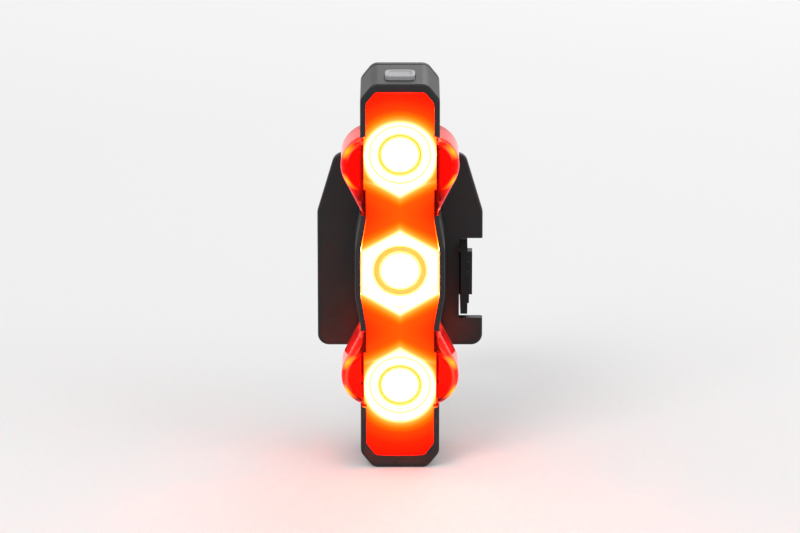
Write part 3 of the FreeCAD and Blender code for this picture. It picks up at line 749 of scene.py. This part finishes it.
def makePad():
    pitch = 2 * pad["halfHeight"] / pad["ribs"]
    outline = [(pad["outer"], -pad["halfHeight"]), (pad["outer"], pad["halfHeight"])]
    outline += [(pad["inner"], pad["halfHeight"])]
    half = pad["grooveTall"] / 2
    floorHalf = half * pad["grooveFloor"]
    floor = pad["inner"] + pad["groove"]
    for rib in range(pad["ribs"] - 1):
        middle = pad["halfHeight"] - (rib + 1) * pitch
        outline += [(pad["inner"], middle + half), (floor, middle + floorHalf)]
        outline += [(floor, middle - floorHalf), (pad["inner"], middle - half)]
    outline += [(pad["inner"], -pad["halfHeight"])]
    shape = bmesh.new()
    start = Matrix.Rotation(math.radians(-90 - pad["halfAngle"]), 4, "Z")
    verts = [shape.verts.new(start @ Vector((radius, 0, height))) for radius, height in outline]
    face = shape.faces.new(verts)
    bmesh.ops.spin(shape, geom=[face] + verts + list(face.edges), cent=(0, 0, 0), axis=(0, 0, 1),
                   angle=math.radians(2 * pad["halfAngle"]), steps=pad["steps"])
    piece = addPiece("post_pad", shape, "rubber", "mount", ["saddle_pad"])
    roundEdges(piece, pad["edge"])


makePad()
print("pad made")


# The flap over the charging port: a plate on a hinge bead, a pull tab and a plug with a hollow in it
flap = {
    "halfWidth": 6.0 * mm,
    "thick": 1.4 * mm,
    "reach": 9.1 * mm,
    "tabHalf": 2.2 * mm,
    "tab": 1.2 * mm,
    "corner": 1.3 * mm,
    "pegRadius": 0.55 * mm,
    "pegReach": 6.8 * mm,
    "pegSteps": 20,
    "plugHalf": (4.29 * mm, 1.45 * mm),
    "plugTall": 1.3 * mm,
    "plugY": -29.07 * mm,
    "plugWall": 0.6 * mm,
    "plugDeep": 0.8 * mm,
    "plugSteps": 32,
    "tipRound": 0.8,
    "hingeRound": 0.49,
    "edge": 0.05 * mm,
    "near": 0.1 * mm,  # how near a middle lies to the place that is looked for
}


# The flat faces that look one way
def facing(shape, way):
    shape.normal_update()
    return [face for face in shape.faces if face.normal.dot(Vector(way)) > 0.999]


# The edges whose middle passes a test
def edgesWhere(shape, test):
    return [edge for edge in shape.edges if test((edge.verts[0].co + edge.verts[1].co) / 2)]


def roundOff(shape, edges, offset, segments):
    bmesh.ops.bevel(shape, geom=edges, offset=offset, affect="EDGES", segments=segments, profile=0.5,
                    material=-1)


# Opens a flat face round a ring that lies in it, and raises the ring's cap
def standOn(shape, face, cap, way):
    outline = list(face.edges) + list(cap.edges)
    normal = face.normal.copy()
    bmesh.ops.delete(shape, geom=[face], context="FACES_ONLY")
    bmesh.ops.triangle_fill(shape, use_beauty=True, use_dissolve=False, edges=outline, normal=normal)
    return pushFaces(shape, [cap], way)


def ringFace(shape, radius, steps, matrix):
    ring = bmesh.ops.create_circle(shape, cap_ends=True, segments=steps, radius=radius, matrix=matrix)
    return ring["verts"][0].link_faces[0]


# The plate and its pull tab
def plate(shape, front, back, low, thick):
    near = flap["near"]
    sheet = bmesh.ops.create_grid(shape, x_segments=3, y_segments=1, size=1)["verts"]
    for vert in sheet:
        wide = flap["halfWidth"] if abs(vert.co.x) > 0.5 else flap["tabHalf"]
        vert.co = (math.copysign(wide, vert.co.x), front if vert.co.y < 0 else back, low)
    pushFaces(shape, shape.faces[:], (0, 0, thick), True)
    bmesh.ops.recalc_face_normals(shape, faces=shape.faces)
    tab = [face for face in facing(shape, (0, -1, 0)) if abs(face.calc_center_median().x) < near]
    pushFaces(shape, tab, (0, -flap["tab"], 0))
    inner = edgesWhere(shape, lambda middle: abs(abs(middle.x) - flap["tabHalf"]) < near
                       and middle.y > front + near)
    bmesh.ops.dissolve_edges(shape, edges=inner, use_verts=True)


def makeFlap():
    low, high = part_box("port_cover")
    thick = flap["thick"]
    back = high.y
    front = back - thick / 2 - flap["reach"]
    middleZ = low.z + thick / 2
    shape = bmesh.new()
    plate(shape, front, back, low.z, thick)
    near = flap["near"]
    corners = edgesWhere(shape, lambda middle: abs(middle.z - middleZ) < near
                         and abs(middle.y - front) < near and abs(middle.x) > flap["tabHalf"] * 2)
    roundOff(shape, corners, flap["corner"], 4)
    tips = edgesWhere(shape, lambda middle: abs(middle.z - middleZ) < near
                      and middle.y < front - flap["tab"] / 2)
    roundOff(shape, tips, flap["tab"] * flap["tipRound"], 4)
    hinge = edgesWhere(shape, lambda middle: middle.y > back - near and abs(middle.x) < near)
    roundOff(shape, hinge, thick * flap["hingeRound"], 6)
    for side in (1, -1):
        end = max(facing(shape, (side, 0, 0)), key=lambda face: face.calc_area())
        lie = Matrix.Translation((side * flap["halfWidth"], back - thick / 2, middleZ))
        turn = Matrix.Rotation(math.radians(90), 4, "Y")
        peg = ringFace(shape, flap["pegRadius"], flap["pegSteps"], lie @ turn)
        standOn(shape, end, peg, (side * (flap["pegReach"] - flap["halfWidth"]), 0, 0))
    halfX, halfY = flap["plugHalf"]
    plug = ringFace(shape, halfY, flap["plugSteps"], Matrix.Identity(4))
    for vert in plug.verts:
        across = vert.co.x + math.copysign(halfX - halfY, vert.co.x)
        vert.co = (across, vert.co.y + flap["plugY"], low.z + thick)
    top = max(facing(shape, (0, 0, 1)), key=lambda face: (face != plug) * face.calc_area())
    cap = standOn(shape, top, plug, (0, 0, flap["plugTall"]))
    bmesh.ops.inset_region(shape, faces=cap, thickness=flap["plugWall"])
    pushFaces(shape, cap, (0, 0, -flap["plugDeep"]))
    piece = addPiece("port_flap", shape, "rubber", "flap", ["port_cover"])
    roundEdges(piece, flap["edge"])


makeFlap()
print("port flap made")


# The power button: a skirt held under the housing's top wall and a cap with a shallow dish
button = {
    "cap": (3.3 * mm, 2.9 * mm),
    "skirt": 0.8 * mm,
    "skirtTall": 0.75 * mm,
    "corner": 1.4 * mm,
    "rim": 0.75 * mm,
    "dish": 0.25 * mm,
    "dishSlope": 0.35 * mm,
    "edge": 0.35 * mm,
}


def makeButton():
    low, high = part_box("power_button")
    centre = (low + high) / 2
    halfX, halfY = button["cap"][0] + button["skirt"], button["cap"][1] + button["skirt"]
    shape = bmesh.new()
    sheet = bmesh.ops.create_grid(shape, x_segments=1, y_segments=1, size=1)["verts"]
    bmesh.ops.scale(shape, vec=(halfX, halfY, 1), verts=sheet)
    bmesh.ops.translate(shape, vec=(centre.x, centre.y, low.z), verts=sheet)
    bmesh.ops.bevel(shape, geom=sheet, offset=button["corner"] + button["skirt"], affect="VERTICES",
                    segments=5, profile=0.5, material=-1)
    top = pushFaces(shape, shape.faces[:], (0, 0, button["skirtTall"]), True)
    bmesh.ops.inset_region(shape, faces=top, thickness=button["skirt"], use_even_offset=True)
    top = pushFaces(shape, top, (0, 0, high.z - low.z - button["skirtTall"]))
    bmesh.ops.inset_region(shape, faces=top, thickness=button["rim"], use_even_offset=True)
    bmesh.ops.inset_region(shape, faces=top, thickness=button["dishSlope"], depth=-button["dish"],
                           use_even_offset=True)
    piece = addPiece("button_cap", shape, "button", "button", ["power_button"])
    roundEdges(piece, button["edge"], 3)


makeButton()
print("button made")


# The three optics: cones with a pocket for the emitter and ring steps on the front
optic = {
    "neck": 3.0 * mm,
    "cone": 6.6 * mm,
    "rim": 8.0 * mm,
    "hexRim": 8.4 * mm,
    "flange": 1.0 * mm,
    "pocket": 2.0 * mm,
    "pocketDeep": 1.8 * mm,
    "dome": 0.5 * mm,
    "domeWide": 0.6,
    "steps": 72,
    "edge": 0.12 * mm,
}
# Radius and depth in millimetres over the front, from the rim's ring grooves to the low crown
roundSteps = [(6.7, 0.0), (6.55, 0.3), (6.25, 0.3), (6.1, 0.0), (4.6, 0.0), (4.45, 0.35), (4.15, 0.35),
              (4.0, 0.0), (3.2, 0.0), (3.0, -0.05), (2.0, -0.13), (1.0, -0.18), (0.0, -0.2)]
hexSteps = [(6.6, 0.0), (5.75, 0.0), (5.6, 0.35), (4.35, 0.35), (4.2, 0.0), (3.2, 0.0), (3.0, -0.05),
            (2.0, -0.13), (1.0, -0.18), (0.0, -0.2)]


# Turns an outline of radius and depth pairs round the Y axis
def turnOutline(shape, outline, steps):
    before = set(shape.verts)
    verts = [shape.verts.new((radius, depth, 0)) for radius, depth in outline]
    edges = [shape.edges.new(pair) for pair in zip(verts, verts[1:])]
    bmesh.ops.spin(shape, geom=verts + edges, cent=(0, 0, 0), axis=(0, 1, 0), angle=2 * math.pi,
                   steps=steps, use_merge=True)
    return [vert for vert in shape.verts if vert not in before]


def stretchRim(verts, stretchAt):
    for vert in verts:
        stretch = stretchAt(math.atan2(vert.co.z, vert.co.x))
        vert.co.x *= stretch
        vert.co.z *= stretch


# The rim is drawn out to a point on the side of the middle emitter
def dropRim(towards):
    lean = math.acos(1 / glow["dropReach"])

    def stretchAt(turn):
        off = abs((turn - towards + math.pi) % (2 * math.pi) - math.pi)
        return 1 / math.cos(lean - off) if off < lean else 1

    return stretchAt


def hexRim(turn):
    sixth = math.radians(60)
    return 1 / math.cos((turn + sixth / 2) % sixth - sixth / 2)


def makeOptic(place, rim, steps, rimAt):
    centre = ledCentres[place]
    low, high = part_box(place + "_collimator")
    front, back = low.y, high.y
    flangeBack = front + optic["flange"]
    pocketFloor = back - optic["pocketDeep"]
    outline = [(0, pocketFloor + optic["dome"]), (optic["pocket"] * optic["domeWide"], pocketFloor),
               (optic["pocket"], pocketFloor), (optic["pocket"], back), (optic["neck"], back),
               (optic["cone"], flangeBack), (rim, flangeBack), (rim, front)]
    outline += [(radius * mm, front + depth * mm) for radius, depth in steps]
    shape = bmesh.new()
    verts = turnOutline(shape, outline, optic["steps"])
    stretchRim([vert for vert in verts if math.hypot(vert.co.x, vert.co.z) > rim - touching], rimAt)
    bmesh.ops.translate(shape, vec=(centre.x, 0, centre.z), verts=verts)
    piece = addPiece(place + "_optic", shape, place, "light", [place + "_collimator"])
    roundEdges(piece, optic["edge"])


makeOptic("upper", optic["rim"], roundSteps, dropRim(math.radians(-90)))
makeOptic("middle", optic["hexRim"], hexSteps, hexRim)
makeOptic("lower", optic["rim"], roundSteps, dropRim(math.radians(90)))
print("optics made")


# Cover screws: low domed heads with a six-sided recess
screw = {
    "headRadius": 1.75 * mm,
    "headTall": 1.1 * mm,
    "shankRadius": 0.8 * mm,
    "length": 6.0 * mm,
    "recess": 0.85 * mm,
    "recessDeep": 0.6 * mm,
    "recessCone": 0.2 * mm,
    "draft": 0.98,
    "lip": 0.05 * mm,
    "dome": [(0.62, 0.0), (0.86, 0.12 * mm), (1.0, 0.4 * mm)],
    "point": 0.5 * mm,
    "pointWide": 0.5,
    "steps": 24,
}


def makeScrew(shape, x, face, z):
    head, shank, recess = screw["headRadius"], screw["shankRadius"], screw["recess"]
    floor = face - screw["recessDeep"]
    under = face - screw["headTall"]
    tip = face - screw["length"]
    outline = [(0, floor - screw["recessCone"]), (recess * screw["draft"], floor),
               (recess, face - screw["lip"])]
    outline += [(head * share, face - down) for share, down in screw["dome"]]
    outline += [(head, under), (shank, under), (shank, tip + screw["point"]),
                (shank * screw["pointWide"], tip), (0, tip)]
    verts = turnOutline(shape, outline, screw["steps"])
    walls = []
    for vert in verts:
        fromAxis = math.hypot(vert.co.x, vert.co.z)
        if vert.co.y > floor - touching and 0 < fromAxis < recess + touching:
            walls.append(vert)
    stretchRim(walls, hexRim)
    bmesh.ops.translate(shape, vec=(x, 0, z), verts=verts)


def makeScrews():
    low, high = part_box("cover_screws")
    acrossX = high.x - screw["headRadius"]
    shape = bmesh.new()
    for x in (acrossX, -acrossX):
        for z in (high.z - screw["headRadius"], low.z + screw["headRadius"]):
            makeScrew(shape, x, high.y, z)
    addPiece("cover_screw_set", shape, "steel", "light", ["cover_screws"])


makeScrews()
print("screws made")


# Thin soft parts: merged copies of their solids, with softened edges
softParts = [
    {"name": "shell_gasket", "node": "cover_gasket", "finish": "rubber", "slot": "rubber_black",
     "edge": 0.12 * mm},
    {"name": "button_ring", "node": "button_seal", "finish": "rubber", "slot": "rubber_black",
     "edge": 0.1 * mm},
    {"name": "cell_foam", "node": "battery_foam", "finish": "foam", "slot": "foam", "edge": 0.15 * mm},
]


def makeSoftPart(part):
    shape = bmesh.new()
    shape.from_mesh(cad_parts[part["node"]].data)
    bmesh.ops.remove_doubles(shape, verts=shape.verts, dist=weld)
    flat = math.radians(1)
    bmesh.ops.dissolve_limit(shape, angle_limit=flat, verts=shape.verts, edges=shape.edges)
    piece = addPiece(part["name"], shape, part["finish"], "light", [part["node"]])
    roundEdges(piece, part["edge"])
    return piece


softPieces = {part["name"]: makeSoftPart(part) for part in softParts}
print("soft parts made")


# Floor and backdrop: white to the camera and in reflections, with the object's shadow near it
stage = {
    "tone": (0.82, 0.82, 0.82),
    "size": 8.0,
    "drop": 0.05 * mm,
    "fadeFrom": 0.25,
    "fadeTo": 1.0,
}
sky = {"light": 0.72, "seen": 1.0}


def seenRays(paint):
    camera = paint.node("ShaderNodeLightPath", out="Is Camera Ray")
    glossy = paint.node("ShaderNodeLightPath", out="Is Glossy Ray")
    through = paint.node("ShaderNodeLightPath", out="Is Transmission Ray")
    return camera.atLeast(glossy).atLeast(through)


def floorPaint():
    paint = newPaint("pale_floor")
    sideways = paint.along("X")
    forwards = paint.along("Y")
    distance = paint.maths("SQRT", sideways * sideways + forwards * forwards)
    fade = (distance - stage["fadeFrom"]) / (stage["fadeTo"] - stage["fadeFrom"])
    fade = fade.atLeast(0).atMost(1)
    near = paint.node("ShaderNodeBsdfDiffuse", {}, {"Color": stage["tone"]})
    far = paint.node("ShaderNodeEmission", {}, {"Color": (1, 1, 1), "Strength": 1.0})
    mixed = paint.node("ShaderNodeMixShader", {}, {0: fade * seenRays(paint), 1: near, 2: far})
    paint.node("ShaderNodeOutputMaterial", {}, {"Surface": mixed})
    return paint.owner


def makeFloor():
    shape = bmesh.new()
    bmesh.ops.create_grid(shape, x_segments=1, y_segments=1, size=stage["size"] / 2)
    bmesh.ops.translate(shape, vec=(0, 0, cadLow.z - stage["drop"]), verts=shape.verts)
    mesh = bpy.data.meshes.new("floor")
    shape.to_mesh(mesh)
    shape.free()
    mesh.materials.append(floorPaint())
    floor = bpy.data.objects.new("floor", mesh)
    bpy.context.scene.collection.objects.link(floor)


def makeSky():
    paint = Paint(bpy.data.worlds.new("studio"))
    strength = seenRays(paint) * (sky["seen"] - sky["light"]) + sky["light"]
    light = paint.node("ShaderNodeBackground", {}, {"Color": (1, 1, 1), "Strength": strength})
    paint.node("ShaderNodeOutputWorld", {}, {"Surface": light})
    bpy.context.scene.world = paint.owner


makeFloor()
makeSky()

lamps = [
    {"name": "key", "from": (-0.45, -0.6, 0.75), "size": 0.45, "watts": 3.0},
    {"name": "fill", "from": (0.8, -0.35, 0.35), "size": 0.6, "watts": 1.6},
    {"name": "back", "from": (0.25, 0.8, 0.6), "size": 0.5, "watts": 2.4},
]


def makeLamps():
    middle = (cadLow + cadHigh) / 2
    for lamp in lamps:
        light = bpy.data.lights.new(lamp["name"], "AREA")
        light.energy = lamp["watts"]
        light.size = lamp["size"]
        holder = bpy.data.objects.new(lamp["name"], light)
        holder.location = lamp["from"]
        away = Vector(lamp["from"]) - middle
        holder.rotation_euler = away.to_track_quat("Z", "Y").to_euler()
        bpy.context.scene.collection.objects.link(holder)


makeLamps()
bpy.context.scene.view_settings.view_transform = "Standard"

# Straight from behind and a little above, as in the photograph, but nearer
camera = {
    "tilt": 17.0,  # degrees above level
    "distance": 1.1,
    "fieldHeight": 0.118,
    "sensor": 36.0,
    "frame": (800, 533),
    "clip": (0.01, 30.0),
}


def makeCamera():
    wide, tall = camera["frame"]
    data = bpy.data.cameras.new("camera")
    data.sensor_width = camera["sensor"]
    data.lens = camera["sensor"] * tall / wide * camera["distance"] / camera["fieldHeight"]
    data.clip_start, data.clip_end = camera["clip"]
    holder = bpy.data.objects.new("camera", data)
    tilt = math.radians(camera["tilt"])
    away = Vector((0, -math.cos(tilt), math.sin(tilt)))
    low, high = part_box("front_housing")
    holder.location = (low + high) / 2 + away * camera["distance"]
    holder.rotation_euler = away.to_track_quat("Z", "Y").to_euler()
    bpy.context.scene.collection.objects.link(holder)
    bpy.context.scene.camera = holder


makeCamera()
print("stage, lamps and camera set")
